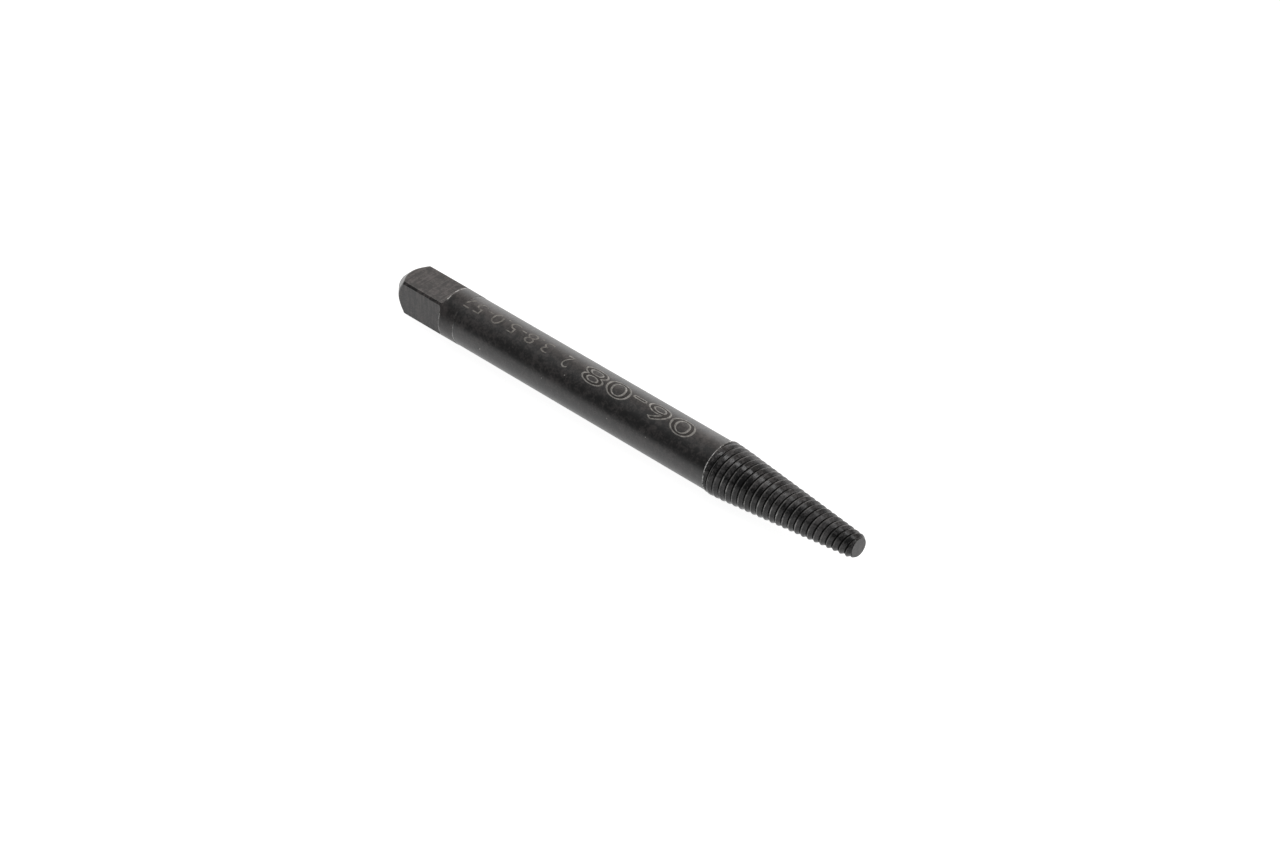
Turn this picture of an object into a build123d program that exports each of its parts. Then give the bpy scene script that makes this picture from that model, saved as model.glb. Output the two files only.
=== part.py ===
# Screw extractor, size 2: a square drive head, a plain round shank and a tapered nose with
# a left-hand spiral, all turned, milled and ground from one bar.
# The tool lies on its side. The tip points along +X and Z = 0 is the surface it lies on.

import os
from math import atan, ceil, cos, degrees, radians, sin

from build123d import *

# Overall length, from the flat end of the head to the flat tip
LENGTH = 56.9

# Round shank. The grinding stops short of the head and leaves a neck there, a little larger
# and tapered, which meets the shank in a fine ring.
SHANK_DIAMETER = 5.0
NECK_DIAMETER_AT_SHANK = 5.05
NECK_DIAMETER = 5.08
NECK_LENGTH = 1.9

# Square drive: across the flats, from its shoulder to the end of the head
SQUARE_ACROSS_FLATS = 3.8
SQUARE_LENGTH = 6.85
SHOULDER_RADIUS = 0.38

# End of the head: a turned cone down to a small flat
END_FLAT_DIAMETER = 2.0
END_CONE_LENGTH = 1.55

# Tapered nose: crest diameters, length, the stretch beside the shank where the taper eases
# to half, and the bevel round the tip
CREST_DIAMETER = 5.27
CREST_DIAMETER_AT_TIP = 2.29
NOSE_LENGTH = 16.2
EASE_LENGTH = 1.6
TIP_FLAT_DIAMETER = 1.85
TIP_BEVEL_LENGTH = 0.35

# Left-hand spiral: three grooves side by side, each with its own start. Their bottoms lie on
# a cone that ends just clear of the shank, so that they run out at the nose's ring.
STARTS = 3
RIDGE_SPACING = 0.69
GROOVE_DEPTH = 0.17
GROOVE_CLEAR_OF_SHANK = 0.03
CREST_LAND = 0.05
STEEP_FLANK_SHARE = 0.45

# How far the groove cutter starts ahead of the tip, how far it runs on past the nose,
# and how far its section stands out of the crests
CUTTER_LEAD_IN = 1.17
CUTTER_RUN_OUT = 0.8
CUTTER_PROUD = 0.06

# Worked out from the sizes above
axis_height = CREST_DIAMETER / 2
half_length = LENGTH / 2
shoulder_at = LENGTH - SQUARE_LENGTH
neck_at = shoulder_at - NECK_LENGTH
ease_from = NOSE_LENGTH - EASE_LENGTH
full_crest_diameter = SHANK_DIAMETER + 2 * (GROOVE_CLEAR_OF_SHANK + GROOVE_DEPTH)
taper_per_mm = (full_crest_diameter - CREST_DIAMETER_AT_TIP) / NOSE_LENGTH
ease_radius = (CREST_DIAMETER_AT_TIP + ease_from * taper_per_mm) / 2
bevel_radius = (CREST_DIAMETER_AT_TIP + TIP_BEVEL_LENGTH * taper_per_mm) / 2
taper_angle = degrees(atan(taper_per_mm / 2))

# The tool's own axis, from the tip to the head. Its local X is up, its local Z is length.
tool_axis = Plane(origin=(half_length, 0, axis_height), x_dir=(0, 0, 1), z_dir=(-1, 0, 0))


def on_axis(local_plane: Plane) -> Plane:
    """A plane of the upright tool, laid down with the tool."""
    return Plane(tool_axis.location * local_plane.location)


# Groove cutter: one V section swept along a left-hand spiral on the cone of the crests.
# The spiral is laid turn by turn, which gives each turn of the groove its own two flanks.
lead = STARTS * RIDGE_SPACING
cutter_radius = CREST_DIAMETER_AT_TIP / 2 - CUTTER_LEAD_IN * taper_per_mm / 2
cutter_turns = ceil((CUTTER_LEAD_IN + NOSE_LENGTH + CUTTER_RUN_OUT) / lead)
flanks_width = RIDGE_SPACING - CREST_LAND
steep_flank = flanks_width * STEEP_FLANK_SHARE
easy_flank = flanks_width - steep_flank
proud_share = (GROOVE_DEPTH + CUTTER_PROUD) / GROOVE_DEPTH
section_plane = Plane(
    origin=(cutter_radius, 0, -CUTTER_LEAD_IN),
    x_dir=(-sin(radians(taper_angle)), 0, -cos(radians(taper_angle))),
    z_dir=(0, -1, 0),
)

with BuildPart() as groove_cutter:
    with BuildLine() as spiral:
        for turn in range(cutter_turns):
            travelled = turn * lead
            Helix(
                pitch=lead / cos(radians(taper_angle)),
                height=lead,
                radius=cutter_radius + travelled * taper_per_mm / 2,
                center=(0, 0, travelled - CUTTER_LEAD_IN),
                cone_angle=taper_angle,
                lefthand=True,
            )
    with BuildSketch(section_plane) as groove_section:
        with BuildLine():
            Polyline(
                (0, -GROOVE_DEPTH),
                (steep_flank * proud_share, CUTTER_PROUD),
                (-easy_flank * proud_share, CUTTER_PROUD),
                close=True,
            )
        make_face()
    sweep(path=spiral.wires()[0], is_frenet=True)

# Flat cutter: what the milling takes off one side of the head. It reaches past the end of
# the head and past the widest part of the blank.
square_end = LENGTH + END_CONE_LENGTH
flat_height = SQUARE_ACROSS_FLATS / 2
cutter_reach = NECK_DIAMETER
with BuildPart() as flat_cutter:
    with BuildSketch(Plane.XZ) as flat_profile:
        with BuildLine():
            Line((flat_height, square_end), (flat_height, shoulder_at + SHOULDER_RADIUS))
            TangentArc(
                (flat_height, shoulder_at + SHOULDER_RADIUS),
                (flat_height + SHOULDER_RADIUS, shoulder_at),
                tangent=(0, -1),
            )
            Line((flat_height + SHOULDER_RADIUS, shoulder_at), (cutter_reach, shoulder_at))
            Line((cutter_reach, shoulder_at), (cutter_reach, square_end))
            Line((cutter_reach, square_end), (flat_height, square_end))
        make_face()
    extrude(amount=cutter_reach, both=True)

# The tool: the turned blank, then the square, then the spiral
with BuildPart(tool_axis) as screw_extractor:
    with BuildSketch(on_axis(Plane.XZ)) as blank_profile:
        with BuildLine():
            Polyline(
                (0, 0),
                (TIP_FLAT_DIAMETER / 2, 0),
                (bevel_radius, TIP_BEVEL_LENGTH),
                (ease_radius, ease_from),
                (CREST_DIAMETER / 2, NOSE_LENGTH),
                (SHANK_DIAMETER / 2, NOSE_LENGTH),
                (SHANK_DIAMETER / 2, neck_at),
                (NECK_DIAMETER_AT_SHANK / 2, neck_at),
                (NECK_DIAMETER / 2, shoulder_at),
                (NECK_DIAMETER / 2, LENGTH - END_CONE_LENGTH),
                (END_FLAT_DIAMETER / 2, LENGTH),
                (0, LENGTH),
                close=True,
            )
        make_face()
    revolve(axis=Axis(tool_axis.origin, tool_axis.z_dir))
    with PolarLocations(0, 4):
        add(flat_cutter.part, mode=Mode.SUBTRACT)
    with PolarLocations(0, STARTS):
        add(groove_cutter.part, mode=Mode.SUBTRACT)

screw_extractor.part.label = "screw_extractor"

os.makedirs("parts", exist_ok=True)
export_step(screw_extractor.part, "parts/screw_extractor.step")
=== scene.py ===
# The screw extractor's finished surfaces: ground shank, milled square, cut spiral and etched
# numbers, all in blackened steel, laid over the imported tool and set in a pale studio.

from math import acos, ceil, cos, floor, hypot, pi, radians, sin

import bmesh
import bpy
import numpy as np
from mathutils import Matrix, Vector


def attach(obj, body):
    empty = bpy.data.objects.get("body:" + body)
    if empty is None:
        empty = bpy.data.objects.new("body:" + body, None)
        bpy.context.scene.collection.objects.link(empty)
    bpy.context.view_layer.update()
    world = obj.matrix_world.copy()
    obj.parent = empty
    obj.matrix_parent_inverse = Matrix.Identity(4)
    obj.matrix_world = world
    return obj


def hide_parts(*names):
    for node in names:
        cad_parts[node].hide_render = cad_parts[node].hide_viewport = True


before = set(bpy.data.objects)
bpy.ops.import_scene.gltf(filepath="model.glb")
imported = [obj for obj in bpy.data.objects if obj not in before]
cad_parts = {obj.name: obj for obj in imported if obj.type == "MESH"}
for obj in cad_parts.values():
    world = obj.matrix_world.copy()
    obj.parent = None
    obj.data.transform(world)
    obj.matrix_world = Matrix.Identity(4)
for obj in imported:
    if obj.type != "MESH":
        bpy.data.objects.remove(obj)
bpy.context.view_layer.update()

MM = 0.001

# The tool's own sizes, in millimetres. Places along it are counted from the tip.
TOOL = {
    "length": 56.9,
    "shank diameter": 5.0,
    "neck diameter at shank": 5.05,
    "neck diameter": 5.08,
    "neck length": 1.9,
    "across flats": 3.8,
    "square length": 6.85,
    "shoulder radius": 0.38,
    "end flat diameter": 2.0,
    "end cone length": 1.55,
    "crest diameter": 5.27,
    "crest diameter at tip": 2.29,
    "nose length": 16.2,
    "ease length": 1.6,
    "tip flat diameter": 1.85,
    "tip bevel": 0.35,
    "starts": 3,
    "ridge spacing": 0.69,
    "groove depth": 0.17,
    "groove clear of shank": 0.03,
    "spiral lead-in": 1.17,
}
AXIS_HEIGHT = TOOL["crest diameter"] / 2
SHANK_RADIUS = TOOL["shank diameter"] / 2
NECK_RADIUS = TOOL["neck diameter"] / 2
FLAT_HEIGHT = TOOL["across flats"] / 2
SHOULDER_AT = TOOL["length"] - TOOL["square length"]
NECK_AT = SHOULDER_AT - TOOL["neck length"]
END_CONE_AT = TOOL["length"] - TOOL["end cone length"]
END_CONE_SLOPE = (NECK_RADIUS - TOOL["end flat diameter"] / 2) / TOOL["end cone length"]
LEAD = TOOL["starts"] * TOOL["ridge spacing"]
FULL_CREST_DIAMETER = TOOL["shank diameter"] + 2 * (
    TOOL["groove clear of shank"] + TOOL["groove depth"]
)
TAPER = (FULL_CREST_DIAMETER - TOOL["crest diameter at tip"]) / TOOL["nose length"]

# How finely the skin is laid. Columns go round the axis: of those in an eighth of a turn, most
# lie on the half flat and the rest on the land. Rows follow one another along the tool.
COLUMNS_PER_EIGHTH = 27
COLUMNS_ON_HALF_FLAT = 24
COLUMNS = 8 * COLUMNS_PER_EIGHTH
ROWS_PER_RIDGE = 12
TIP_ROWS = 6
SHANK_ROWS = 27
FILLET_ROWS = 9
FLAT_ROWS = 8
NEAR_RIM_ROWS = 7
RIM_ROWS = 5
END_CONE_ROWS = 7
# Where the spiral's skin hands over to the plain shank's. The shank's even rows stop short of
# the neck, and the flats' even rows short of the end cone.
SHANK_FROM = 16.9
SHANK_ROWS_SHORT = 1.0
FLAT_ROWS_SHORT = 0.85
# Points nearer than this are welded, first in the nose and then in the whole skin
NOSE_WELD = 0.0002
WELD = 0.0004
TINY_EDGE = 0.00005
# Edges as sharp as this, in degrees, aren't smoothed
SHARP_FROM = 17
ROUNDING = 1e-9

# One ridge in shares of its width: an easy flank that faces the tip, the crest's narrow land,
# and a steep flank that faces the head
EASY_FLANK = 6 / 12
CREST_LAND = 1 / 12
STEEP_FLANK = 5 / 12
# The cut is a little uneven, drawn out along the ridges. It fades at the nose's two ends.
UNEVENNESS = 0.02
UNEVEN_SEED = 4.0
UNEVEN_ALONG = 3.0
UNEVEN_ROUND = 0.8
UNEVEN_FADE = 0.3
# Painted shade lies in the grooves from a sixth of their depth down, and ends short of the nose's
# ring, over a twentieth of a millimetre. A face takes the near-black painted shade from this
# amount of it.
SHADE_DEEPENS = 6
SHADE_SHORT_OF_RING = 0.12
SHADE_ENDS = 20
SHADED_FROM = 0.7

# Broken edges: how far the shoulder's and the end cone's are rounded, and the fine ring at the
# neck, with how far before it the shank begins to rise
SHOULDER_EDGE = 0.12
END_EDGE = 0.12
NECK_RING_RISE = 0.006
NECK_RING_WIDTH = 0.01
NECK_RING_FOOT = 0.012

# Wear and painted highlights on outward corners: 1 is bare steel, more is burnished steel painted
# near-white as a highlight. It begins on corners of the first angle, in degrees, and is full on
# those of the second, or of the third at the shoulder's edge.
CORNER_WEAR_AND_GLINT_FROM = 8
CORNER_WEAR_AND_GLINT_FULL = 33
SHOULDER_WEAR_AND_GLINT_FULL = 16
# The wear, with its painted highlight, up to each place along the tool; at the shoulder's edge it
# reaches a near-white painted highlight. The ridges and the two rings have their own.
WEAR_AND_GLINT_UP_TO = (
    (TOOL["tip bevel"], 0.45), (NECK_AT - 0.2, 1.0), (SHOULDER_AT - 0.2, 0.4),
    (SHOULDER_AT + 0.02, 2.15), (TOOL["length"] + 1.0, 0.7),
)
# The ridges' crests are worn and carry a painted highlight: more in front, most where they stand
# foremost, and somewhat more at the back.
# In front the wear and the highlight are weaker near the tip.
RIDGE_WEAR_AND_GLINT = 0.64
RIDGE_GLINT_IN_FRONT = 0.36
RIDGE_GLINT_FOREMOST = 3.0
FOREMOST_FROM = 0.8
RIDGE_GLINT_AT_BACK = 0.26
FULLY_AT_BACK = 0.4
WEAKER_IN_FRONT_OF = 0.3
WEAR_AND_GLINT_AT_TIP = 0.45
WEAR_AND_GLINT_GROWS_OVER = 11
# The nose's ring is worn and carries a painted highlight, weaker above, from the first height
# across the view to the second
RING_WEAR_AND_GLINT = 1.3
RING_GLINT_MORE_BELOW = 0.9
RING_GLINT_GROWS = (-0.8, -0.4)
RING_WEAR_AND_GLINT_WIDTH = 0.09
# The neck's ring carries a painted highlight above and below only, outside these distances from
# the middle
NECK_RING_GLINT_ABOVE = 0.8
NECK_RING_GLINT_BELOW = 2.4
NECK_RING_GLINT_FROM = (0.3, 0.55)
NECK_RING_GLINT_WIDTH = 0.08
NECK_RING_GLINT_FADE = 0.06
# The line across the tool as the camera sees it, from its lower outline to its upper one
ACROSS_VIEW = (0.733, 0.681)

# Etched numbers. Sizes are in millimetres and the angle is in degrees round from the top.
MARK_STAND = 0.004
MARK_SUNK_SHARE = 0.4
LETTER_STEP = 0.05
MARKS = {
    "etched_sizes": {
        "Numbers": "3.8-5.0-57", "Outlined": False, "Letter Size": 1.95, "Stretch": 1.45,
        "Slant": 0.1, "Line Width": 0.0, "Thinning": 0.028, "Place Along": 42.8,
        "Angle Round": -6.0,
    },
    "etched_size_number": {
        "Numbers": "2", "Outlined": False, "Letter Size": 2.2, "Stretch": 1.05,
        "Slant": 0.1, "Line Width": 0.0, "Thinning": 0.042, "Place Along": 34.95,
        "Angle Round": -10.0,
    },
    "etched_range": {
        "Numbers": "06-08", "Outlined": True, "Letter Size": 2.6, "Stretch": 2.3,
        "Slant": -0.1, "Line Width": 0.1, "Thinning": 0.0, "Place Along": 26.1,
        "Angle Round": -7.5,
    },
}
FAINT_MARKS = ("etched_sizes",)
FAINT_LINE = ((0.09, 0.0855, 0.079), (0.36, 0.34, 0.315))
CLEAR_LINE = ((0.14, 0.135, 0.126), (0.48, 0.465, 0.44))
ETCHED_GROUND = ((0.012, 0.0105, 0.010), (0.045, 0.039, 0.035))

# Bright nicks on the shank: place from the tip and width in millimetres, angle in degrees
NICKS = (
    (34.21, -42.0, 0.09), (44.46, -90.0, 0.12), (36.50, -73.5, 0.08),
    (28.15, -78.0, 0.08), (23.40, -69.5, 0.09),
)
NICK_SOFTNESS = 1.6
NICK_COLOR = (0.5, 0.49, 0.47, 1)
BARE_STEEL = (0.38, 0.375, 0.365, 1)
BURNISH_AND_GLINT = (0.85, 0.85, 0.84, 1)
# Painted shade: the near-black colours of the grooves' steep flanks and bottoms
PAINTED_SHADE_COLORS = ((0.001, 0.001, 0.001), (0.009, 0.009, 0.009))

# Noises of the surface: how many spots to the metre, their detail and their roughness
OXIDE_PATCHES = (330.0, 4.0, 0.62)
OXIDE_MOTTLE = (1500.0, 4.0, 0.7)
OXIDE_GRAIN = (5200.0, 3.0, 0.65)
WEAR_PATCHES = (1300.0, 3.0, 0.65)
# Specks in the grooves' painted shade
PAINTED_SHADE_SPECKS = (2600.0, 3.0, 0.7)
ETCHED_SPECKS = (2400.0, 3.0, 0.7)

# The finishes of the blackened steel, as blackened() takes them
LOOKS = {
    "ground": {
        "ior": 1.62, "dark": (0.002, 0.0018, 0.002), "light": (0.047, 0.0415, 0.0405),
        "grain": 3.2, "roughness": 0.34, "lines": 16000.0, "unbroken": 9.0, "relief": 0.35,
        "streaks": 0.6, "bump": 0.5, "rubbed_and_lit": 0.6, "nicked": True,
    },
    "turned": {
        "ior": 1.51, "dark": (0.008, 0.0074, 0.0074), "light": (0.08, 0.071, 0.0695),
        "grain": 1.4, "roughness": 0.38, "lines": 9000.0, "unbroken": 6.0, "relief": 0.5,
        "streaks": 0.8, "bump": 0.5, "rubbed_and_lit": 0.9,
    },
    "milled": {
        "ior": 1.56, "dark": (0.002, 0.0018, 0.002), "light": (0.073, 0.0635, 0.0618),
        "grain": 3.0, "roughness": 0.42, "lines": 4200.0, "unbroken": 14.0, "relief": 0.6,
        "streaks": 3.6, "bump": 0.6, "rubbed_and_lit": 0.8,
    },
    "faced": {
        "ior": 1.62, "dark": (0.02, 0.02, 0.0195), "light": (0.07, 0.067, 0.063),
        "grain": 1.2, "roughness": 0.32, "lines": 9000.0, "unbroken": 6.0, "relief": 0.5,
        "streaks": 0.5, "bump": 0.3,
    },
    "cut": {
        "ior": 1.39, "dark": (0.009, 0.009, 0.0095), "light": (0.102, 0.0975, 0.0985),
        "grain": 1.9, "roughness": 0.15, "lines": 9000.0, "unbroken": 4.0, "relief": 0.4,
        "streaks": 0.8, "bump": 0.9, "drift": 0.7, "rubbed_and_lit": 1.0, "duller_at_tip": 0.16,
    },
}
BUMP_DEPTH = 0.02
# The cut steel grows duller towards the tip, in millimetres from the tool's middle
DULLER_FROM = 16.5
DULLER_OVER = 6.0

# The camera that fits the photograph: its place in metres and the ways it faces, then a last
# nudge in millimetres and a roll in degrees
LENS = 111.669
SENSOR_WIDTH = 36.0
CAMERA_PLACE = (0.198198, -0.205335, 0.223574)
CAMERA_AHEAD = (-0.54396, 0.57003, -0.61577)
CAMERA_LEVEL = (0.72346, 0.69037, 0.0)
CAMERA_NUDGE_LEVEL = -0.08
CAMERA_NUDGE_UPRIGHT = 0.12
CAMERA_ROLL = 0.076

# The floor glows for the camera, so that it shows white. In the tool's reflections it dims
# towards the camera's side, in metres from the tool's middle.
FLOOR_REACH = 3.0
FLOOR_GREY = 0.4
FLOOR_GLOW = 0.93
FLOOR_DIMS_FROM = 0.006
FLOOR_DIMS_OVER = 0.032
FLOOR_DIMMED_BY = 0.6

# How bright the studio is from the camera's side, at 0, to behind the tool, at 1
STUDIO_LEVELS = (
    (0.0, 0.08), (0.2, 0.1), (0.32, 0.21), (0.44, 0.35), (0.55, 0.32), (0.65, 0.37),
    (0.73, 0.49), (0.8, 0.67), (0.9, 0.88), (1.0, 0.91),
)
STUDIO_STRENGTH = 2.0
# The corner behind the tool and past its tip is darker. It begins this far behind, and
# darkens over as much.
CORNER_OVER = 0.35
CORNER_LOSS = 0.7
# A warm tint, strongest at this share across, with what red, green and blue lose there
WARM_AT = 0.7
WARM_WITHIN = 0.04
WARM_LOSSES = (0.0, 0.07, 0.11)
SOFTBOX_SIZE = 0.105
SOFTBOX_ENERGY = 0.16
SOFTBOX_TOWARD = (0.53, -0.03, 0.85)
SOFTBOX_DISTANCE = 0.4


# Node trees in plain arithmetic

class Reckoned:
    """A number worked out in a node tree, which takes plain arithmetic."""

    def __init__(self, tree, socket):
        self.tree = tree
        self.socket = socket

    def _node(self, operation, *terms):
        node = new_node(
            self.tree, "ShaderNodeMath", dict(enumerate(terms)), operation=operation
        )
        return Reckoned(self.tree, node.outputs[0])

    def __add__(self, other):
        return self._node("ADD", self, other)

    def __radd__(self, other):
        return self._node("ADD", other, self)

    def __sub__(self, other):
        return self._node("SUBTRACT", self, other)

    def __rsub__(self, other):
        return self._node("SUBTRACT", other, self)

    def __mul__(self, other):
        return self._node("MULTIPLY", self, other)

    def __truediv__(self, other):
        return self._node("DIVIDE", self, other)

    def __mod__(self, other):
        return self._node("FLOORED_MODULO", self, other)

    def at_most(self, other):
        return self._node("MINIMUM", self, other)

    def at_least(self, other):
        return self._node("MAXIMUM", self, other)

    def between(self, low, high):
        return self.at_least(low).at_most(high)

    def over(self, limit):
        return self._node("GREATER_THAN", self, limit)

    def floor(self):
        return self._node("FLOOR", self)

    def cosine(self):
        return self._node("COSINE", self)

    def sine(self):
        return self._node("SINE", self)

    def swapped(self, other, share):
        """This number where share is 0, the other where it is 1."""
        return self * (1 - share) + other * share


def give(tree, slot, value):
    """Gives an input a plain value, or a socket or reckoned number to follow."""
    if isinstance(value, Reckoned):
        value = value.socket
    if isinstance(value, bpy.types.NodeSocket):
        tree.links.new(value, slot)
    else:
        slot.default_value = value


def new_node(tree, kind, inputs=None, **settings):
    """A node with these settings, and with inputs given by name or number."""
    node = tree.nodes.new(kind)
    for setting, choice in settings.items():
        setattr(node, setting, choice)
    for slot, value in (inputs or {}).items():
        give(tree, node.inputs[slot], value)
    return node


def made(tree, kind, inputs=None, **settings):
    """What comes out first of a new node, such as its geometry."""
    return new_node(tree, kind, inputs, **settings).outputs[0]


def as_vector(tree, *parts):
    return made(tree, "ShaderNodeCombineXYZ", dict(enumerate(parts)))


def parts_of(tree, vector):
    apart = new_node(tree, "ShaderNodeSeparateXYZ", {0: vector})
    return [Reckoned(tree, part) for part in apart.outputs]


def add_sockets(tree, in_out, sockets):
    for name, kind in sockets.items():
        tree.interface.new_socket(name=name, in_out=in_out, socket_type="NodeSocket" + kind)


def geometry_tree(name, sockets):
    """A geometry tree with these named inputs, each returned as a reckoned number."""
    tree = bpy.data.node_groups.new(name, "GeometryNodeTree")
    add_sockets(tree, "INPUT", sockets)
    add_sockets(tree, "OUTPUT", {"Geometry": "Geometry"})
    entry = tree.nodes.new("NodeGroupInput")
    return tree, {socket: Reckoned(tree, entry.outputs[socket]) for socket in sockets}


def shader_group(name, inputs, outputs):
    """A shader group. Returns its tree, its inputs by name and its output node."""
    tree = bpy.data.node_groups.new(name, "ShaderNodeTree")
    add_sockets(tree, "INPUT", inputs)
    add_sockets(tree, "OUTPUT", outputs)
    entry = tree.nodes.new("NodeGroupInput")
    given = {
        socket: Reckoned(tree, entry.outputs[socket]) if kind == "Float" else entry.outputs[socket]
        for socket, kind in inputs.items()
    }
    return tree, given, tree.nodes.new("NodeGroupOutput")


def grown(name, tree, values):
    """A plain mesh object made by a geometry tree with these values for its inputs."""
    piece = bpy.data.objects.new(name, bpy.data.meshes.new(name))
    bpy.context.scene.collection.objects.link(piece)
    nodes = piece.modifiers.new(tree.name, "NODES")
    nodes.node_group = tree
    for item in tree.interface.items_tree:
        if item.item_type == "SOCKET" and item.in_out == "INPUT":
            nodes[item.identifier] = values[item.name]
    bpy.context.view_layer.update()
    graph = bpy.context.evaluated_depsgraph_get()
    plain = bpy.data.meshes.new_from_object(piece.evaluated_get(graph), depsgraph=graph)
    piece.modifiers.remove(nodes)
    piece.data = plain
    return piece


def round_the_axis(tree, size, along, angle, radius):
    """The point at a place along the tool, an angle from the top and a radius."""
    return as_vector(
        tree, along * MM, angle.sine() * radius * MM,
        (angle.cosine() * radius + size["Axis Height"]) * MM,
    )


# Spiral nose

NOSE_SOCKETS = {
    **dict.fromkeys((
        "Tool Length", "Axis Height", "Crest Diameter", "Crest Diameter at Tip", "Taper",
        "Nose Length", "Ease Length", "Shank Diameter", "Shank From", "Tip Flat Diameter",
        "Tip Bevel", "Starts", "Ridge Spacing", "Groove Depth", "Spiral Lead-in",
        "Unevenness", "Seed",
    ), "Float"),
    **dict.fromkeys((
        "Columns", "Rows", "Rows per Ridge", "Tip Rows", "Bevel Rows", "Cone Rows",
        "First Bevel Row", "First Cone Row", "First Run-out Row",
    ), "Int"),
}


def places_along(size, row, turn):
    """Each point's place along the tool, and whether it is past the tip, bevel and cone.

    Rows follow the spiral. Where a row would leave its stretch it stops at the stretch's end."""
    lead = size["Starts"] * size["Ridge Spacing"]
    step = size["Ridge Spacing"] / size["Rows per Ridge"]
    bevel_from = size["Tip Rows"] - 0.5
    cone_from = bevel_from + size["Bevel Rows"]
    runout_from = cone_from + size["Cone Rows"]

    def on_stretch(first_row, stretch_from, low, high):
        ridge_row = row - (stretch_from + 0.5) + first_row
        free = ridge_row * step - size["Spiral Lead-in"] - turn * lead
        return free.between(low, high)

    on_bevel = on_stretch(size["First Bevel Row"], bevel_from, 0.0, size["Tip Bevel"])
    on_cone = on_stretch(
        size["First Cone Row"], cone_from, size["Tip Bevel"], size["Nose Length"]
    )
    on_runout = on_stretch(
        size["First Run-out Row"], runout_from, size["Nose Length"], size["Shank From"]
    )
    past_tip = row.over(bevel_from)
    past_bevel = row.over(cone_from)
    past_cone = row.over(runout_from)
    place = (on_bevel * past_tip).swapped(on_cone, past_bevel).swapped(on_runout, past_cone)
    return place, past_tip, past_bevel, past_cone


def turned_blank(size, place, past_bevel, past_cone):
    """The radius of the cone of the crests, and of the blank that the spiral is cut into."""
    crest = (size["Crest Diameter at Tip"] + place * size["Taper"]) / 2
    bevel_top = (size["Crest Diameter at Tip"] + size["Tip Bevel"] * size["Taper"]) / 2
    tip = size["Tip Flat Diameter"] / 2
    bevelled = tip + (bevel_top - tip) * place / size["Tip Bevel"]
    ease_from = size["Nose Length"] - size["Ease Length"]
    ease_radius = (size["Crest Diameter at Tip"] + ease_from * size["Taper"]) / 2
    eased = ease_radius + (size["Crest Diameter"] / 2 - ease_radius) * (
        (place - ease_from) / size["Ease Length"]
    )
    blank = bevelled.swapped(crest.at_most(eased), past_bevel)
    return crest, blank.swapped(size["Shank Diameter"] / 2, past_cone)


def unevenness(tree, size, place, angle, radius):
    """How far the cut strays at each point."""
    sample = as_vector(
        tree, place * UNEVEN_ALONG, angle.sine() * radius * UNEVEN_ROUND,
        angle.cosine() * radius * UNEVEN_ROUND,
    )
    grain = made(tree, "ShaderNodeTexNoise", {
        "Vector": sample, "W": size["Seed"], "Scale": 1.0, "Detail": 3.0,
    }, noise_dimensions="4D")
    inside = ((place - size["Tip Bevel"]) / UNEVEN_FADE).between(0.0, 1.0) * (
        (size["Nose Length"] - place) / UNEVEN_FADE
    ).between(0.0, 1.0)
    return (Reckoned(tree, grain) - 0.5) * size["Unevenness"] * inside


def soot(size, place, ridge, in_groove, past_tip):
    """Painted shade: 1 on the steep flanks and in the bottoms of the grooves, where shade falls,
    and 0 elsewhere.
    """
    steep = ((ridge - (EASY_FLANK + CREST_LAND)) * (2 * ROWS_PER_RIDGE)).between(0.0, 1.0)
    bottom = (1 - ridge * ROWS_PER_RIDGE).between(0.0, 1.0)
    to_ring = size["Nose Length"] - SHADE_SHORT_OF_RING - place
    clear_of_ring = (to_ring * SHADE_ENDS).between(0.0, 1.0)
    return steep.at_least(bottom) * (in_groove * SHADE_DEEPENS).at_most(1.0) * (
        past_tip * clear_of_ring
    )


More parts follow.
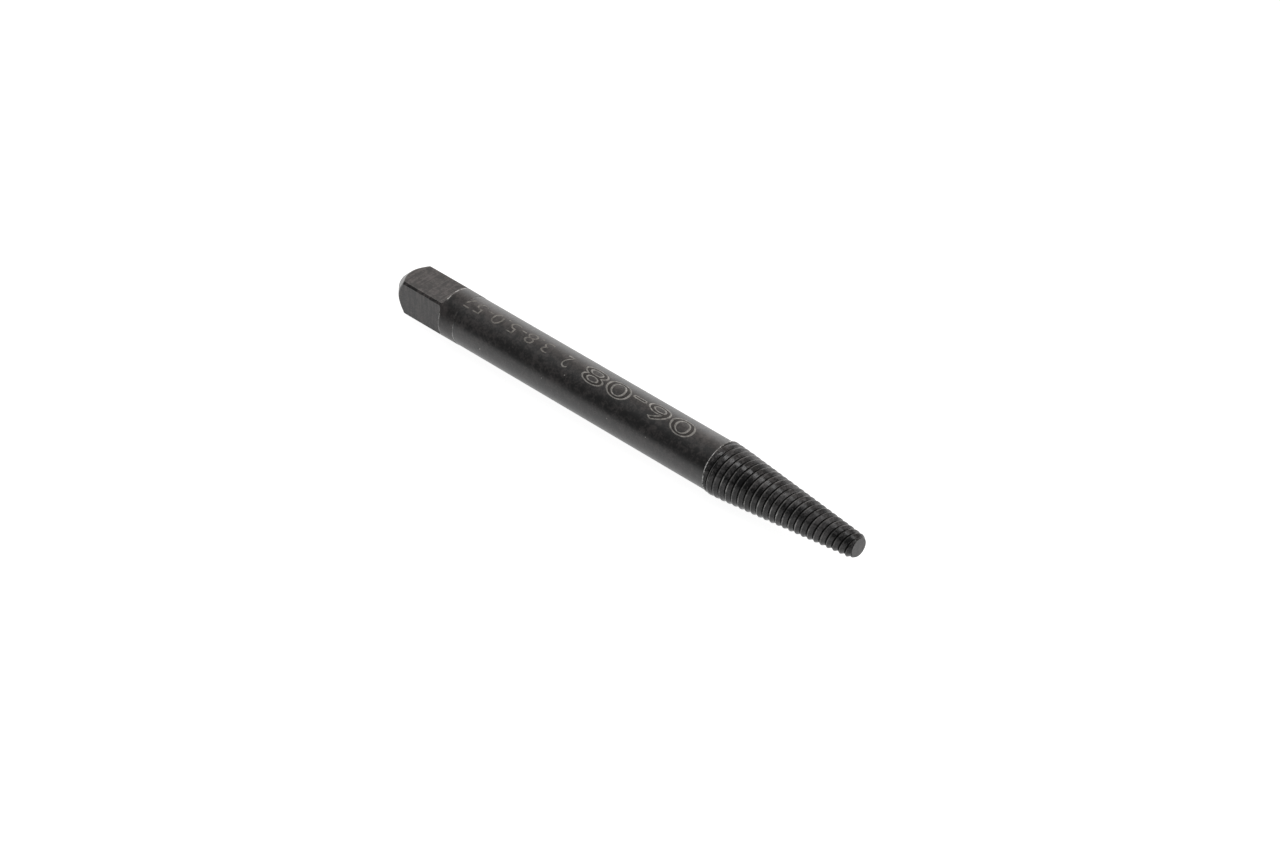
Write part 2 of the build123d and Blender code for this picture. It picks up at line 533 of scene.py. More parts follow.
def spiral_nose_tree(cut_steel, sooty_steel, ground_steel):
    """A skin of rows that run along the spiral, so that each crest and each valley is a row.

    The rows are laid on the tip face, the tip's bevel, the cone and the run-out on the shank
    in turn."""
    tree, size = geometry_tree("Spiral nose", NOSE_SOCKETS)
    sheet = made(tree, "GeometryNodeMeshGrid", {
        "Vertices X": size["Rows"], "Vertices Y": size["Columns"] + 1,
    })
    index = Reckoned(tree, made(tree, "GeometryNodeInputIndex"))
    row = ((index + 0.5) / (size["Columns"] + 1)).floor()
    turn = (index - row * (size["Columns"] + 1)) / size["Columns"]
    angle = turn * (2 * pi)
    place, past_tip, past_bevel, past_cone = places_along(size, row, turn)
    crest, blank = turned_blank(size, place, past_bevel, past_cone)

    # The V grooves
    lead = size["Starts"] * size["Ridge Spacing"]
    ridge = ((place + size["Spiral Lead-in"] + turn * lead) / size["Ridge Spacing"]) % 1.0
    steep_from = EASY_FLANK + CREST_LAND
    sunk = (1 - ridge / EASY_FLANK).at_least((ridge - steep_from) / STEEP_FLANK).at_least(0.0)
    radius = blank.at_most(crest - sunk * size["Groove Depth"])
    in_groove = ((blank - radius) / size["Groove Depth"]).between(0.0, 1.0)
    radius = radius - unevenness(tree, size, place, angle, radius)
    # On the tip face the first rows run from the axis out to the bevel
    radius = radius * (row / size["Tip Rows"]).at_most(1.0)

    laid = made(tree, "GeometryNodeSetPosition", {
        "Geometry": sheet,
        "Position": round_the_axis(tree, size, size["Tool Length"] / 2 - place, angle, radius),
    })
    # Painted shade: each point is marked by how far it lies in the grooves' shade, and faces
    # marked enough get the near-black material
    noted = made(tree, "GeometryNodeStoreNamedAttribute", {
        "Geometry": laid, "Name": "soot", "Value": soot(size, place, ridge, in_groove, past_tip),
    }, data_type="FLOAT", domain="POINT")
    welded = made(tree, "GeometryNodeMergeByDistance", {
        "Geometry": noted, "Distance": NOSE_WELD * MM,
    })
    real = made(tree, "GeometryNodeRealizeInstances", {"Geometry": welded})
    skin = made(tree, "GeometryNodeSetMaterial", {"Geometry": real, "Material": cut_steel})
    stored = Reckoned(tree, made(tree, "GeometryNodeInputNamedAttribute", {"Name": "soot"}))
    position = parts_of(tree, made(tree, "GeometryNodeInputPosition"))
    along = size["Tool Length"] / 2 - position[0] / MM
    for chosen, finish in (
        (stored.over(SHADED_FROM), sooty_steel),
        (1 - along.over(0.001), ground_steel),
        (along.over(size["Nose Length"] + 0.001), ground_steel),
    ):
        skin = made(tree, "GeometryNodeSetMaterial", {
            "Geometry": skin, "Selection": chosen, "Material": finish,
        })
    new_node(tree, "NodeGroupOutput", {0: skin})
    return tree


def spiral_nose(cut_steel, sooty_steel, ground_steel):
    step = TOOL["ridge spacing"] / ROWS_PER_RIDGE

    def rows_for(low, high):
        """The first row that a stretch needs, and how many, over the whole turn."""
        first = floor((low + TOOL["spiral lead-in"]) / step) - 1
        last = ceil((high + TOOL["spiral lead-in"] + LEAD) / step) + 1
        return first, last - first + 1

    bevel_first, bevel_rows = rows_for(0.0, TOOL["tip bevel"])
    cone_first, cone_rows = rows_for(TOOL["tip bevel"], TOOL["nose length"])
    runout_first, runout_rows = rows_for(TOOL["nose length"], SHANK_FROM)
    return grown("spiral_nose", spiral_nose_tree(cut_steel, sooty_steel, ground_steel), {
        "Tool Length": TOOL["length"],
        "Axis Height": AXIS_HEIGHT,
        "Crest Diameter": TOOL["crest diameter"],
        "Crest Diameter at Tip": TOOL["crest diameter at tip"],
        "Taper": TAPER,
        "Nose Length": TOOL["nose length"],
        "Ease Length": TOOL["ease length"],
        "Shank Diameter": TOOL["shank diameter"],
        "Shank From": SHANK_FROM,
        "Tip Flat Diameter": TOOL["tip flat diameter"],
        "Tip Bevel": TOOL["tip bevel"],
        "Starts": float(TOOL["starts"]),
        "Ridge Spacing": TOOL["ridge spacing"],
        "Groove Depth": TOOL["groove depth"],
        "Spiral Lead-in": TOOL["spiral lead-in"],
        "Unevenness": UNEVENNESS,
        "Seed": UNEVEN_SEED,
        "Columns": COLUMNS,
        "Rows": TIP_ROWS + bevel_rows + cone_rows + runout_rows,
        "Rows per Ridge": ROWS_PER_RIDGE,
        "Tip Rows": TIP_ROWS,
        "Bevel Rows": bevel_rows,
        "Cone Rows": cone_rows,
        "First Bevel Row": bevel_first,
        "First Cone Row": cone_first,
        "First Run-out Row": runout_first,
    })


# Etched numbers

MARK_SOCKETS = {
    **dict.fromkeys((
        "Letter Size", "Stretch", "Slant", "Line Width", "Thinning", "Stand", "Place Along",
        "Angle Round", "Shank Diameter", "Axis Height", "Tool Length",
    ), "Float"),
    "Numbers": "String",
    "Outlined": "Bool",
}


def flat_letters(tree, size):
    """The letters' outlines in even steps, drawn in a little to thin the strokes."""
    written = made(
        tree, "GeometryNodeStringToCurves",
        {"String": size["Numbers"], "Size": size["Letter Size"]},
        align_x="CENTER", align_y="MIDDLE",
    )
    real = made(tree, "GeometryNodeRealizeInstances", {"Geometry": written})
    even = made(
        tree, "GeometryNodeResampleCurve", {"Curve": real, "Length": LETTER_STEP}, mode="LENGTH"
    )
    level = made(tree, "GeometryNodeSetCurveNormal", {"Curve": even}, mode="Z_UP")
    inward = made(
        tree, "ShaderNodeVectorMath",
        {0: made(tree, "GeometryNodeInputNormal"), "Scale": size["Thinning"] * -1},
        operation="SCALE",
    )
    return made(tree, "GeometryNodeSetPosition", {"Geometry": level, "Offset": inward})


def letter_outlines(tree, size, letters, etched_line):
    """A flat bar led round each letter."""
    bar = made(tree, "GeometryNodeCurvePrimitiveQuadrilateral", {
        "Width": size["Line Width"], "Height": size["Stand"] * 2,
    })
    led = made(tree, "GeometryNodeCurveToMesh", {"Curve": letters, "Profile Curve": bar})
    lifted = made(tree, "GeometryNodeSetPosition", {
        "Geometry": led, "Offset": as_vector(tree, 0.0, 0.0, size["Stand"]),
    })
    return made(tree, "GeometryNodeSetMaterial", {"Geometry": lifted, "Material": etched_line})


def joined_geometry(tree, first, second):
    both = new_node(tree, "GeometryNodeJoinGeometry", {0: first})
    give(tree, both.inputs[0], second)
    return both.outputs[0]


def letter_plates(tree, size, letters):
    """A closed plate in the shape of each letter, cut fine enough to bend."""
    plate = made(tree, "GeometryNodeFillCurve", {"Curve": letters})
    fine = made(tree, "GeometryNodeSubdivideMesh", {"Mesh": plate, "Level": 2})
    raised = made(tree, "GeometryNodeExtrudeMesh", {
        "Mesh": fine, "Individual": False,
        "Offset Scale": size["Stand"] * (2 - size["Outlined"]),
    })
    under = made(tree, "GeometryNodeFlipFaces", {"Mesh": fine})
    return made(tree, "GeometryNodeMergeByDistance", {
        "Geometry": joined_geometry(tree, raised, under), "Distance": WELD,
    })


def etched_numbers_tree(name, etched_line, etched_ground):
    """Plain numbers wrapped round the shank, either solid or as an outline on a dull ground.

    They are laid out flat, given a thickness, and then bent to the shank. They read towards
    the head, with their feet at the back of the shank."""
    tree, size = geometry_tree(name, MARK_SOCKETS)
    letters = flat_letters(tree, size)
    outline = letter_outlines(tree, size, letters, etched_line)
    plates = letter_plates(tree, size, letters)
    solid, ground = (
        made(tree, "GeometryNodeSetMaterial", {"Geometry": plates, "Material": finish})
        for finish in (etched_line, etched_ground)
    )
    chosen = made(tree, "GeometryNodeSwitch", {
        "Switch": size["Outlined"], "False": solid,
        "True": joined_geometry(tree, ground, outline),
    }, input_type="GEOMETRY")

    reading, rising, standing = parts_of(tree, made(tree, "GeometryNodeInputPosition"))
    shank = size["Shank Diameter"] / 2
    angle = size["Angle Round"] * (pi / 180) - rising / shank
    radius = shank + standing - size["Stand"] * MARK_SUNK_SHARE
    along = size["Tool Length"] / 2 - size["Place Along"] - (
        reading * size["Stretch"] + rising * size["Slant"]
    )
    bent = made(tree, "GeometryNodeSetPosition", {
        "Geometry": chosen, "Position": round_the_axis(tree, size, along, angle, radius),
    })
    done = made(tree, "GeometryNodeRealizeInstances", {"Geometry": bent})
    new_node(tree, "NodeGroupOutput", {0: done})
    return tree


def etched_numbers():
    """The numbers on the shank: its main sizes near the head, then the tool's own size."""
    faint_line = etched("etched_faint", *FAINT_LINE)
    clear_line = etched("etched_line", *CLEAR_LINE)
    ground = etched("etched_ground", *ETCHED_GROUND)
    faint = etched_numbers_tree("Faint numbers", faint_line, ground)
    clear = etched_numbers_tree("Clear numbers", clear_line, ground)
    for name, mark in MARKS.items():
        piece = grown(name, faint if name in FAINT_MARKS else clear, {
            **mark,
            "Stand": MARK_STAND,
            "Shank Diameter": TOOL["shank diameter"],
            "Axis Height": AXIS_HEIGHT,
            "Tool Length": TOOL["length"],
        })
        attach(piece, "root")


# Shank, neck and square head. A row is a place along the tool, a radius, an angle from the
# middle of the flat, each one number or one to a column, and a finish.

EIGHTHS = np.arange(COLUMNS) * 8.0 / COLUMNS
EIGHTH = np.floor(EIGHTHS + ROUNDING)
FROM_FLAT = np.where(EIGHTH % 2 == 0, EIGHTHS - EIGHTH, 1 - (EIGHTHS - EIGHTH))
FLAT_MIDDLE = np.ceil(EIGHTH / 2) * pi / 2
FLAT_SIDE = np.where(EIGHTH % 2 == 0, 1.0, -1.0)
ON_FLAT = COLUMNS_ON_HALF_FLAT / COLUMNS_PER_EIGHTH


def column_angles(edge, drawn=1.0):
    """The columns' angles from the middle of the flat, drawn to the flat's edge.

    With the columns drawn to it, each edge of the square is a clean line."""
    inner = FROM_FLAT / ON_FLAT * edge
    outer = edge + (FROM_FLAT - ON_FLAT) / (1 - ON_FLAT) * (pi / 4 - edge)
    warped = np.where(FROM_FLAT <= ON_FLAT + ROUNDING, inner, outer)
    return drawn * warped + (1 - drawn) * FROM_FLAT * (pi / 4)


def flats_and_lands(height):
    """Angles and radii of a section of the square whose flats lie at this height."""
    edge = acos(height / NECK_RADIUS)
    angle = column_angles(edge)
    return angle, np.minimum(NECK_RADIUS, height / np.cos(np.minimum(angle, edge)))


def steps(low, high, count):
    """Even steps from low, which is left out, to high."""
    return np.linspace(low, high, count + 1)[1:]


def shank_rows():
    """The ground shank, up to the fine ring where the grinding stops."""
    even = column_angles(0.0, 0.0)
    # Rows that bound the band of the neck ring's painted highlight
    glint_from = NECK_AT - NECK_RING_GLINT_WIDTH
    for place in (
        *np.linspace(SHANK_FROM, NECK_AT - SHANK_ROWS_SHORT, SHANK_ROWS),
        glint_from - NECK_RING_GLINT_FADE, glint_from, NECK_AT - NECK_RING_FOOT,
    ):
        yield place, SHANK_RADIUS, even, "ground"
    yield NECK_AT, SHANK_RADIUS + NECK_RING_RISE, even, "ground"


def neck_rows():
    """The neck, and the rounded edge where it ends at the shoulder."""
    start = TOOL["neck diameter at shank"] / 2
    begins = NECK_AT + NECK_RING_WIDTH
    yield begins, start, column_angles(0.0, 0.0), "turned"
    wall = FLAT_HEIGHT + TOOL["shoulder radius"]
    edge = acos(wall / NECK_RADIUS)
    length = TOOL["neck length"] - SHOULDER_EDGE - NECK_RING_WIDTH
    for drawn in (0.2, 0.4, 0.6, 0.8, 0.93, 1.0):
        radius = start + (NECK_RADIUS - start) * drawn
        yield begins + length * drawn, radius, column_angles(edge, drawn), "turned"
    angle, wall_top = flats_and_lands(wall)
    for turned in np.radians((25, 50, 72, 88)):
        radius = NECK_RADIUS - SHOULDER_EDGE * (1 - cos(turned))
        place = SHOULDER_AT - SHOULDER_EDGE * (1 - sin(turned))
        yield place, np.maximum(radius, wall_top), angle, "turned"


def square_rows(straight_to):
    """The fillet at the shoulder, then the straight flats and their lands."""
    fillet = TOOL["shoulder radius"]
    for bend in np.linspace(0, pi / 2, FILLET_ROWS):
        angle, radius = flats_and_lands(FLAT_HEIGHT + fillet * (1 - sin(bend)))
        yield SHOULDER_AT + fillet * (1 - cos(bend)), radius, angle, "milled"
    angle, radius = flats_and_lands(FLAT_HEIGHT)
    for place in steps(SHOULDER_AT + fillet, straight_to, FLAT_ROWS):
        yield place, radius, angle, "milled"


def end_rows(straight_to):
    """The last of the flats, the rounded rim, the end cone and the small end flat."""
    angle, radius = flats_and_lands(FLAT_HEIGHT)
    rim = END_CONE_AT + (NECK_RADIUS - radius) / END_CONE_SLOPE
    rounded_from = rim - END_EDGE
    rounded_to = rim + END_EDGE / hypot(1, END_CONE_SLOPE)
    for share in steps(0, 1, NEAR_RIM_ROWS):
        yield straight_to + (rounded_from - straight_to) * share, radius, angle, "milled"
    for bend in steps(0, 1, RIM_ROWS):
        kept, turned = (1 - bend) ** 2, bend ** 2
        place = rounded_from * kept + rim * (1 - kept - turned) + rounded_to * turned
        sunk = (rounded_to - rim) * END_CONE_SLOPE * turned
        yield place, radius - sunk, angle, "faced"
    for share in steps(0, 1, END_CONE_ROWS):
        place = rounded_to + (TOOL["length"] - rounded_to) * share
        yield place, NECK_RADIUS - (place - END_CONE_AT) * END_CONE_SLOPE, angle, "faced"
    for share in (0.97, 0.7, 0.35):
        yield TOOL["length"], TOOL["end flat diameter"] / 2 * share, angle, "faced"


def shank_and_head(finishes):
    """The plain mesh of the shank, neck and square head, closed at the head's end."""
    straight_to = END_CONE_AT - FLAT_ROWS_SHORT
    rows = [*shank_rows(), *neck_rows(), *square_rows(straight_to), *end_rows(straight_to)]
    points = []
    for place, radius, from_flat, _ in rows:
        angle = FLAT_MIDDLE + FLAT_SIDE * from_flat
        along = np.broadcast_to(TOOL["length"] / 2 - place, (COLUMNS,))
        points.append(np.stack(
            [along, radius * np.sin(angle), AXIS_HEIGHT + radius * np.cos(angle)], 1
        ))
    points = np.concatenate(points + [[[-TOOL["length"] / 2, 0.0, AXIS_HEIGHT]]]) * MM

    order = list(finishes)
    faces = []
    kinds = []
    for number in range(1, len(rows)):
        before = (number - 1) * COLUMNS
        after = number * COLUMNS
        for column in range(COLUMNS):
            beside = (column + 1) % COLUMNS
            faces.append((before + column, before + beside, after + beside, after + column))
            kinds.append(order.index(rows[number][3]))
    last = (len(rows) - 1) * COLUMNS
    middle = len(points) - 1
    for column in range(COLUMNS):
        faces.append((last + column, last + (column + 1) % COLUMNS, middle))
        kinds.append(order.index("faced"))
    mesh = bpy.data.meshes.new("shank_and_head")
    mesh.from_pydata([tuple(point) for point in points], [], faces)
    for material in finishes.values():
        mesh.materials.append(material)
    mesh.polygons.foreach_set("material_index", kinds)
    return mesh


# The whole skin, its wear and its painted highlights

def share_between(value, low, high):
    """0 at low or below, 1 at high or above."""
    return min(1.0, max(0.0, (value - low) / (high - low)))


def sharpest_corner(vert):
    """The sharpest outward corner, as an angle, among the edges that meet at a point."""
    outward = [
        edge.calc_face_angle(0.0) for edge in vert.link_edges
        if len(edge.link_faces) == 2 and edge.is_convex
    ]
    return max([0.0, *outward])


def wear_and_glint_at(vert):
    """How far a point of the skin is rubbed and painted with a highlight: 1 is bare steel, more is
    burnished steel painted near-white as a highlight.

    The camera's side is front, at 1. Across the view, low runs from -1 at the upper outline
    to 1 at the lower one."""
    place = TOOL["length"] / 2 - vert.co.x / MM
    across = vert.co.y / MM
    up = vert.co.z / MM - AXIS_HEIGHT
    radius = hypot(across, up)
    front = -across / max(radius, 0.1)
    low = (ACROSS_VIEW[0] * across + ACROSS_VIEW[1] * up) / -max(radius, 0.1)

    at_shoulder = abs(place - SHOULDER_AT + SHOULDER_EDGE / 2) < SHOULDER_EDGE
    full = SHOULDER_WEAR_AND_GLINT_FULL if at_shoulder else CORNER_WEAR_AND_GLINT_FULL
    edge_mark = share_between(sharpest_corner(vert), radians(CORNER_WEAR_AND_GLINT_FROM), radians(full))
    wear_and_glint = next(wear_and_glint for limit, wear_and_glint in WEAR_AND_GLINT_UP_TO if place < limit)

    ring_from = TOOL["nose length"] - RING_WEAR_AND_GLINT_WIDTH
    # The crests: wear plus a painted highlight that grows on the camera's side and at the back
    if TOOL["tip bevel"] < place < ring_from:
        wear_and_glint = RIDGE_WEAR_AND_GLINT + RIDGE_GLINT_IN_FRONT * max(0.0, front)
        wear_and_glint += RIDGE_GLINT_FOREMOST * max(0.0, front - FOREMOST_FROM)
        wear_and_glint += RIDGE_GLINT_AT_BACK * share_between(-front, 0.0, FULLY_AT_BACK)
        if front > WEAKER_IN_FRONT_OF:
            wear_and_glint *= min(1.0, WEAR_AND_GLINT_AT_TIP + place / WEAR_AND_GLINT_GROWS_OVER)
    proud = radius > SHANK_RADIUS + 0.02
    # The nose's ring: a burnished edge painted as a highlight, brighter below
    if proud and ring_from < place < TOOL["nose length"] + 0.001:
        wear_and_glint = RING_WEAR_AND_GLINT + RING_GLINT_MORE_BELOW * share_between(low, *RING_GLINT_GROWS)
        edge_mark = 1.0
    # The neck's ring: a painted highlight above and below, none in the middle
    if NECK_AT - NECK_RING_GLINT_WIDTH - 0.01 < place < NECK_AT - 0.005:
        wear_and_glint = NECK_RING_GLINT_BELOW if low > 0 else NECK_RING_GLINT_ABOVE
        edge_mark = share_between(abs(low), *NECK_RING_GLINT_FROM)
    return wear_and_glint * edge_mark


def joined_tool(nose, rest, name):
    """One closed skin of the nose and the rest, welded where they meet on the shank."""
    skin = bpy.data.meshes.new(name)
    for material in rest.materials:
        skin.materials.append(material)
    names = [material.name for material in rest.materials]
    nose_names = [material.name if material else names[0] for material in nose.materials]
    whole = bmesh.new()
    whole.from_mesh(rest)
    plain_faces = len(whole.faces)
    whole.from_mesh(nose)
    whole.faces.ensure_lookup_table()
    for face in whole.faces[plain_faces:]:
        face.material_index = names.index(nose_names[face.material_index])
    bmesh.ops.remove_doubles(whole, verts=whole.verts[:], dist=WELD * MM)
    bmesh.ops.dissolve_degenerate(whole, edges=whole.edges[:], dist=TINY_EDGE * MM)
    bmesh.ops.recalc_face_normals(whole, faces=whole.faces[:])

    rubbed_and_lit = whole.verts.layers.float.new("rubbed_and_lit")
    # Each point's wear and painted highlight, which the materials read
    for vert in whole.verts:
        vert[rubbed_and_lit] = wear_and_glint_at(vert)
    for face in whole.faces:
        face.smooth = True
    for edge in whole.edges:
        edge.smooth = edge.calc_face_angle(0.0) < radians(SHARP_FROM)
    whole.to_mesh(skin)
    whole.free()
    return skin


# Materials

def shader_tree(name):
    material = bpy.data.materials.new(name)
    material.use_nodes = True
    tree = material.node_tree
    return material, tree, tree.nodes["Principled BSDF"]


def object_place(tree):
    return tree.nodes.new("ShaderNodeTexCoord").outputs["Object"]


def noise(tree, vector, scale, detail, roughness):
    return Reckoned(tree, made(tree, "ShaderNodeTexNoise", {
        "Vector": vector, "Scale": scale, "Detail": detail, "Roughness": roughness,
    }))


def mixed(tree, share, first, second):
    """The first colour where share is 0, the second where it is 1."""
    first_color, second_color, mixed_color = 6, 7, 2
    mix = new_node(tree, "ShaderNodeMix", {
        "Factor": share, first_color: first, second_color: second,
    }, data_type="RGBA")
    return mix.outputs[mixed_color]


def placed(tree, group, values):
    """A node group set in a material, each input given a value or a socket to follow."""
    node = tree.nodes.new("ShaderNodeGroup")
    node.node_tree = group
    for name, value in values.items():
        give(tree, node.inputs[name], value)
    return node


def oxide_group():
    """Black oxide on steel: a dark colour that drifts in soft patches and shows a fine grain."""
    tree, given, out = shader_group(
        "Oxide",
        {"Vector": "Vector", "Dark": "Color", "Light": "Color", "Grain": "Float",
         "Marks": "Float", "Streaks": "Float", "Roughness": "Float", "Drift": "Float"},
        {"Color": "Color", "Roughness": "Float", "Height": "Float"},
    )
    patches = noise(tree, given["Vector"], *OXIDE_PATCHES)
    mottle = noise(tree, given["Vector"], *OXIDE_MOTTLE)
    grain = noise(tree, given["Vector"], *OXIDE_GRAIN)
    mottled = ((mottle - 0.5) * 1.6 + (grain - 0.5)) * given["Grain"]
    streaked = (given["Marks"] - 0.5) * given["Streaks"]
    share = (0.30 + (patches - 0.5) * 2.0 + mottled + streaked).between(0.0, 1.0)
    give(tree, out.inputs["Color"], mixed(tree, share, given["Dark"], given["Light"]))
    roughness = given["Roughness"] + ((patches + mottle) / 2 - 0.5) * given["Drift"]
    roughness = roughness + (grain - 0.5) * given["Drift"]
    give(tree, out.inputs["Roughness"], roughness.between(0.08, 0.9))
    give(tree, out.inputs["Height"], grain * 0.6 + patches * 0.4)
    return tree


def tool_marks_group():
    """Fine parallel lines left by a wheel or cutter, straight across the tool's length."""
    tree, given, out = shader_group(
        "Tool marks",
        {"Vector": "Vector", "Lines per Metre": "Float", "Unbroken": "Float"},
        {"Height": "Float"},
    )
    along, across, up = (
        part * given["Lines per Metre"] for part in parts_of(tree, given["Vector"])
    )
    drawn = as_vector(tree, along, across / given["Unbroken"], up / given["Unbroken"])
    give(tree, out.inputs["Height"], noise(tree, drawn, 1.0, 2.0, 0.7))
    return tree


def edge_wear_and_glint_group():
    """Lays bare steel over an oxide where an attribute says that the edge stands proud, and past
    full bareness a near-white painted highlight.
    """
    tree, given, out = shader_group(
        "Edge wear",
        {"Vector": "Vector", "Exposed": "Float", "Amount": "Float", "Oxide": "Color"},
        {"Color": "Color"},
    )
    patches = noise(tree, given["Vector"], *WEAR_PATCHES)
    broken = ((patches - 0.36) * 3.6).between(0.15, 1.0)
    edge_mark = given["Exposed"] * given["Exposed"] * broken * given["Amount"]
    color = mixed(tree, edge_mark.between(0.0, 1.0), given["Oxide"], BARE_STEEL)
    # Past 1 the edge turns near-white: burnished steel with a painted highlight
    color = mixed(tree, (edge_mark - 1).between(0.0, 1.0), color, BURNISH_AND_GLINT)
    give(tree, out.inputs["Color"], color)
    return tree


def nicks_group():
    """Small bright nicks at chosen places on the shank."""
    tree, given, out = shader_group("Nicks", {"Vector": "Vector"}, {"Mask": "Float"})
    mask = None
    for place, angle, across in NICKS:
        spot = Vector((
            TOOL["length"] / 2 - place,
            SHANK_RADIUS * sin(radians(angle)),
            AXIS_HEIGHT + SHANK_RADIUS * cos(radians(angle)),
        )) * MM
        away = new_node(
            tree, "ShaderNodeVectorMath", {0: given["Vector"], 1: spot}, operation="DISTANCE"
        )
        away = Reckoned(tree, away.outputs["Value"])
        near = (NICK_SOFTNESS - away / (across * MM / 2)).between(0.0, 1.0)
        mask = near if mask is None else mask.at_least(near)
    give(tree, out.inputs["Mask"], mask)
    return tree


def blackened(name, ior, dark, light, grain, roughness, lines, unbroken, relief, streaks, bump,
              drift=0.16, rubbed_and_lit=0.0, nicked=False, duller_at_tip=0.0):
    """Blackened steel in one of the tool's finishes.

    dark and light are the oxide's two colours, grain how strongly it is mottled, and drift how
    far its roughness strays. lines are the tool marks to a metre and unbroken is how far they
    run, in line widths. relief is their share of the bump and streaks is how strongly they
    colour. worn is the share of the edges' wear and painted highlight that shows. duller_at_tip
    is how much rougher the finish is at the tip."""
    material, tree, shader = shader_tree(name)
    where = object_place(tree)
    marks = placed(tree, TOOL_MARKS, {
        "Vector": where, "Lines per Metre": lines, "Unbroken": unbroken,
    }).outputs["Height"]
    oxide = placed(tree, OXIDE, {
        "Vector": where, "Dark": (*dark, 1), "Light": (*light, 1), "Grain": grain,
        "Marks": marks, "Streaks": streaks, "Roughness": roughness, "Drift": drift,
    })
    color = oxide.outputs["Color"]
    roughness = Reckoned(tree, oxide.outputs["Roughness"])
    if duller_at_tip:
        along = parts_of(tree, where)[0] / MM
        toward_tip = ((along - DULLER_FROM) / DULLER_OVER).between(0.0, 1.0)
        roughness = (roughness + toward_tip * duller_at_tip).at_most(0.9)
    if rubbed_and_lit:
        exposed = new_node(tree, "ShaderNodeAttribute", attribute_name="rubbed_and_lit")
        color = placed(tree, EDGE_WEAR_AND_GLINT, {
            "Vector": where, "Exposed": exposed.outputs["Fac"], "Amount": rubbed_and_lit, "Oxide": color,
        }).outputs["Color"]
    if nicked:
        nicks = placed(tree, NICK_MASK, {"Vector": where})
        color = mixed(tree, nicks.outputs["Mask"], color, NICK_COLOR)
    height = Reckoned(tree, marks) * relief + Reckoned(
        tree, oxide.outputs["Height"]
    ) * (1 - relief)
    raised = made(tree, "ShaderNodeBump", {
        "Strength": bump, "Distance": BUMP_DEPTH * MM, "Height": height,
    })
    give(tree, shader.inputs["Base Color"], color)
    give(tree, shader.inputs["Roughness"], roughness)
    give(tree, shader.inputs["IOR"], ior)
    give(tree, shader.inputs["Normal"], raised)
    return material


def speckled(tree, shader, specks, threshold, contrast, dark, light):
    """Gives a shader a base colour that is mottled from dark to light."""
    share = (noise(tree, object_place(tree), *specks) - threshold) * contrast
    color = mixed(tree, share.between(0.0, 1.0), (*dark, 1), (*light, 1))
    give(tree, shader.inputs["Base Color"], color)


def sooty(name):
    """A near-black, barely glossy colour painted as shade over the bottoms and steep sides of the
    grooves.
    """
    material, tree, shader = shader_tree(name)
    speckled(tree, shader, PAINTED_SHADE_SPECKS, 0.4, 3.0, *PAINTED_SHADE_COLORS)
    shader.inputs["Roughness"].default_value = 0.7
    shader.inputs["Specular IOR Level"].default_value = 0.06
    return material


def etched(name, dark, light):
    """The dull, slightly brown surface that etching leaves."""
    material, tree, shader = shader_tree(name)
    speckled(tree, shader, ETCHED_SPECKS, 0.34, 2.6, dark, light)
    shader.inputs["Roughness"].default_value = 0.55
    shader.inputs["IOR"].default_value = 1.5
    return material


# Camera, floor and light

def set_camera():
    """The photograph's view: from above and in front of the tip."""
    lens = bpy.data.cameras.new("camera")
    lens.sensor_width = SENSOR_WIDTH
    lens.lens = LENS
    lens.clip_start = 0.01
    lens.clip_end = 20.0
    camera = bpy.data.objects.new("camera", lens)
    bpy.context.scene.collection.objects.link(camera)
    level = Vector(CAMERA_LEVEL).normalized()
    ahead = Vector(CAMERA_AHEAD).normalized()
    upright = level.cross(ahead)
    roll = radians(CAMERA_ROLL)
    right = level * cos(roll) - upright * sin(roll)
    up = right.cross(ahead)
    nudge = level * CAMERA_NUDGE_LEVEL * MM + upright * CAMERA_NUDGE_UPRIGHT * MM
    turned = Matrix((right, up, -ahead)).transposed().to_4x4()
    camera.matrix_world = Matrix.Translation(Vector(CAMERA_PLACE) + nudge) @ turned
    bpy.context.scene.camera = camera


def pale_floor():
    """A pale floor that shows white behind the tool and still takes its shadow."""
    mesh = bpy.data.meshes.new("floor")
    corners = [
        (x * FLOOR_REACH, y * FLOOR_REACH, 0) for x, y in ((-1, -1), (1, -1), (1, 1), (-1, 1))
    ]
    mesh.from_pydata(corners, [], [(0, 1, 2, 3)])
    floor_piece = bpy.data.objects.new("floor", mesh)
    bpy.context.scene.collection.objects.link(floor_piece)
    material, tree, shader = shader_tree("pale_floor")
    shader.inputs["Base Color"].default_value = (FLOOR_GREY, FLOOR_GREY, FLOOR_GREY, 1)
    shader.inputs["Roughness"].default_value = 1.0
    shader.inputs["Specular IOR Level"].default_value = 0.0
    toward_camera = parts_of(tree, object_place(tree))[1] * -1
    dimmed = ((toward_camera - FLOOR_DIMS_FROM) / FLOOR_DIMS_OVER).between(0.0, 1.0)
    mirrored = 1 - dimmed * FLOOR_DIMMED_BY
    paths = tree.nodes.new("ShaderNodeLightPath")
    seen = Reckoned(tree, paths.outputs["Is Camera Ray"])
    for ray in ("Is Glossy Ray", "Is Transmission Ray"):
        seen = seen.at_least(Reckoned(tree, paths.outputs[ray]) * mirrored)
    shader.inputs["Emission Color"].default_value = (1, 1, 1, 1)
    give(tree, shader.inputs["Emission Strength"], seen * FLOOR_GLOW)
    mesh.materials.append(material)


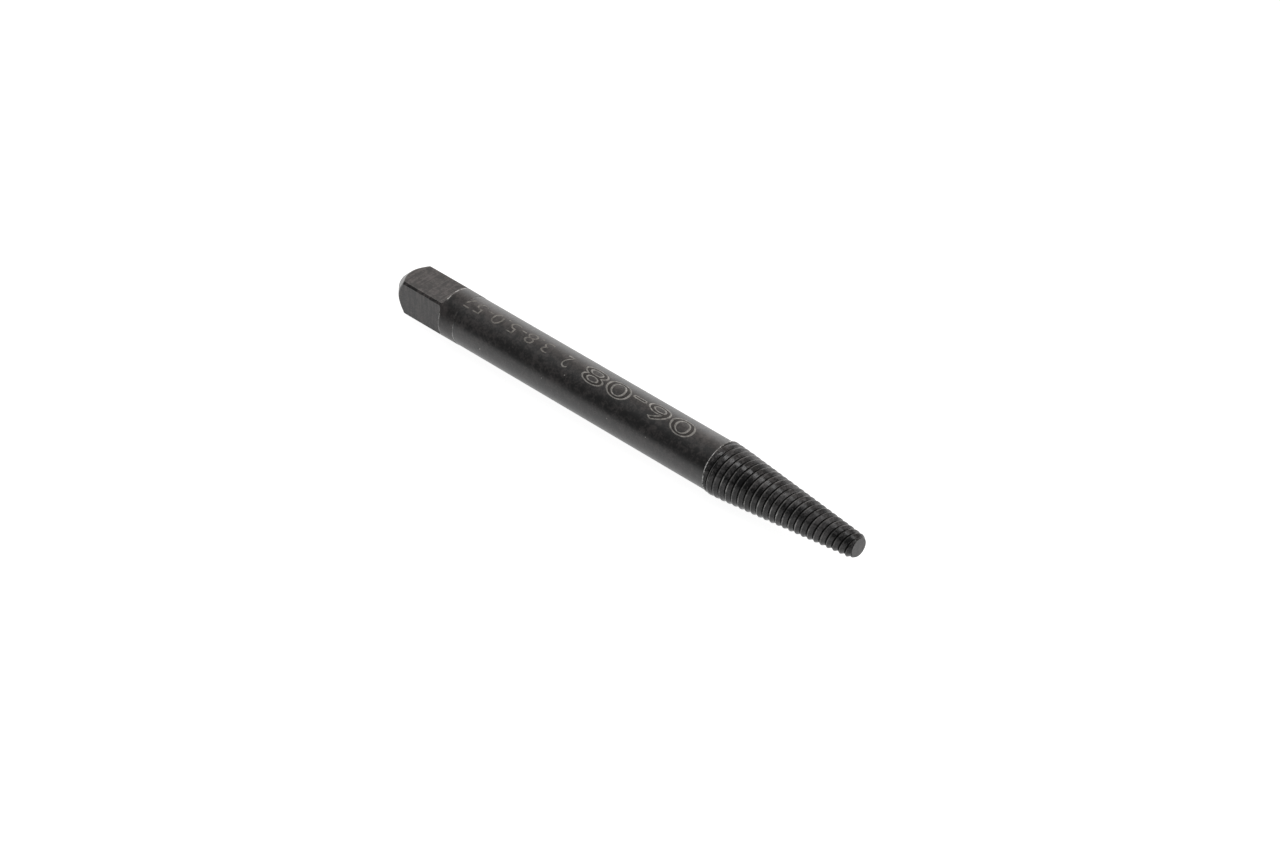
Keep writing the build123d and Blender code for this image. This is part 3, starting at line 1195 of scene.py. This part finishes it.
def studio_level(tree, across):
    """How bright the studio is at each share of the way across it."""
    ramp = new_node(tree, "ShaderNodeFloatCurve", {"Value": across})
    line = ramp.mapping.curves[0]
    line.points[0].location = STUDIO_LEVELS[0]
    line.points[1].location = STUDIO_LEVELS[-1]
    for at, level in STUDIO_LEVELS[1:-1]:
        line.points.new(at, level)
    for point in line.points:
        point.handle_type = "VECTOR"
    ramp.mapping.update()
    return Reckoned(tree, ramp.outputs[0])


def studio_world():
    """A plain studio: bright behind and above the tool, dim on the side the camera is on."""
    world = bpy.data.worlds.new("studio")
    world.use_nodes = True
    bpy.context.scene.world = world
    tree = world.node_tree
    background = tree.nodes["Background"]
    direction = tree.nodes.new("ShaderNodeTexCoord").outputs["Generated"]
    toward_tip, from_camera, _ = parts_of(tree, direction)
    across = (from_camera + 1) / 2
    past_tip = (toward_tip / CORNER_OVER).between(0.0, 1.0)
    behind = ((from_camera - CORNER_OVER) / CORNER_OVER).between(0.0, 1.0)
    level = studio_level(tree, across) * (1 - past_tip * behind * CORNER_LOSS)
    from_warmest = across - WARM_AT
    warm = (1 - from_warmest * from_warmest / WARM_WITHIN).between(0.0, 1.0)
    tinted = made(tree, "ShaderNodeCombineColor", {
        channel: level * (1 - warm * loss) for channel, loss in enumerate(WARM_LOSSES)
    })
    give(tree, background.inputs["Color"], tinted)
    background.inputs["Strength"].default_value = STUDIO_STRENGTH


def softbox():
    """The lamp that glints along the shank and on the ridges."""
    lamp = bpy.data.lights.new("softbox", "AREA")
    lamp.shape = "SQUARE"
    lamp.size = SOFTBOX_SIZE
    lamp.energy = SOFTBOX_ENERGY
    light = bpy.data.objects.new("softbox", lamp)
    bpy.context.scene.collection.objects.link(light)
    toward = Vector(SOFTBOX_TOWARD).normalized()
    light.location = toward * SOFTBOX_DISTANCE
    light.rotation_euler = toward.to_track_quat("Z", "Y").to_euler()


# The tool in the studio

OXIDE = oxide_group()
TOOL_MARKS = tool_marks_group()
EDGE_WEAR_AND_GLINT = edge_wear_and_glint_group()
NICK_MASK = nicks_group()
FINISHES = {
    finish: blackened(finish + "_blackened_steel", **look) for finish, look in LOOKS.items()
}
# The near-black painted shade of the grooves
FINISHES["sooty"] = sooty("sooty_steel")

nose = spiral_nose(FINISHES["cut"], FINISHES["sooty"], FINISHES["ground"])
rest = shank_and_head(FINISHES)
tool = bpy.data.objects.new("extractor", joined_tool(nose.data, rest, "extractor"))
bpy.context.scene.collection.objects.link(tool)
bpy.data.objects.remove(nose)
bpy.data.meshes.remove(rest)
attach(tool, "root")
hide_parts("screw_extractor")
etched_numbers()

set_camera()
pale_floor()
studio_world()
softbox()
bpy.context.scene.view_settings.view_transform = "Standard"
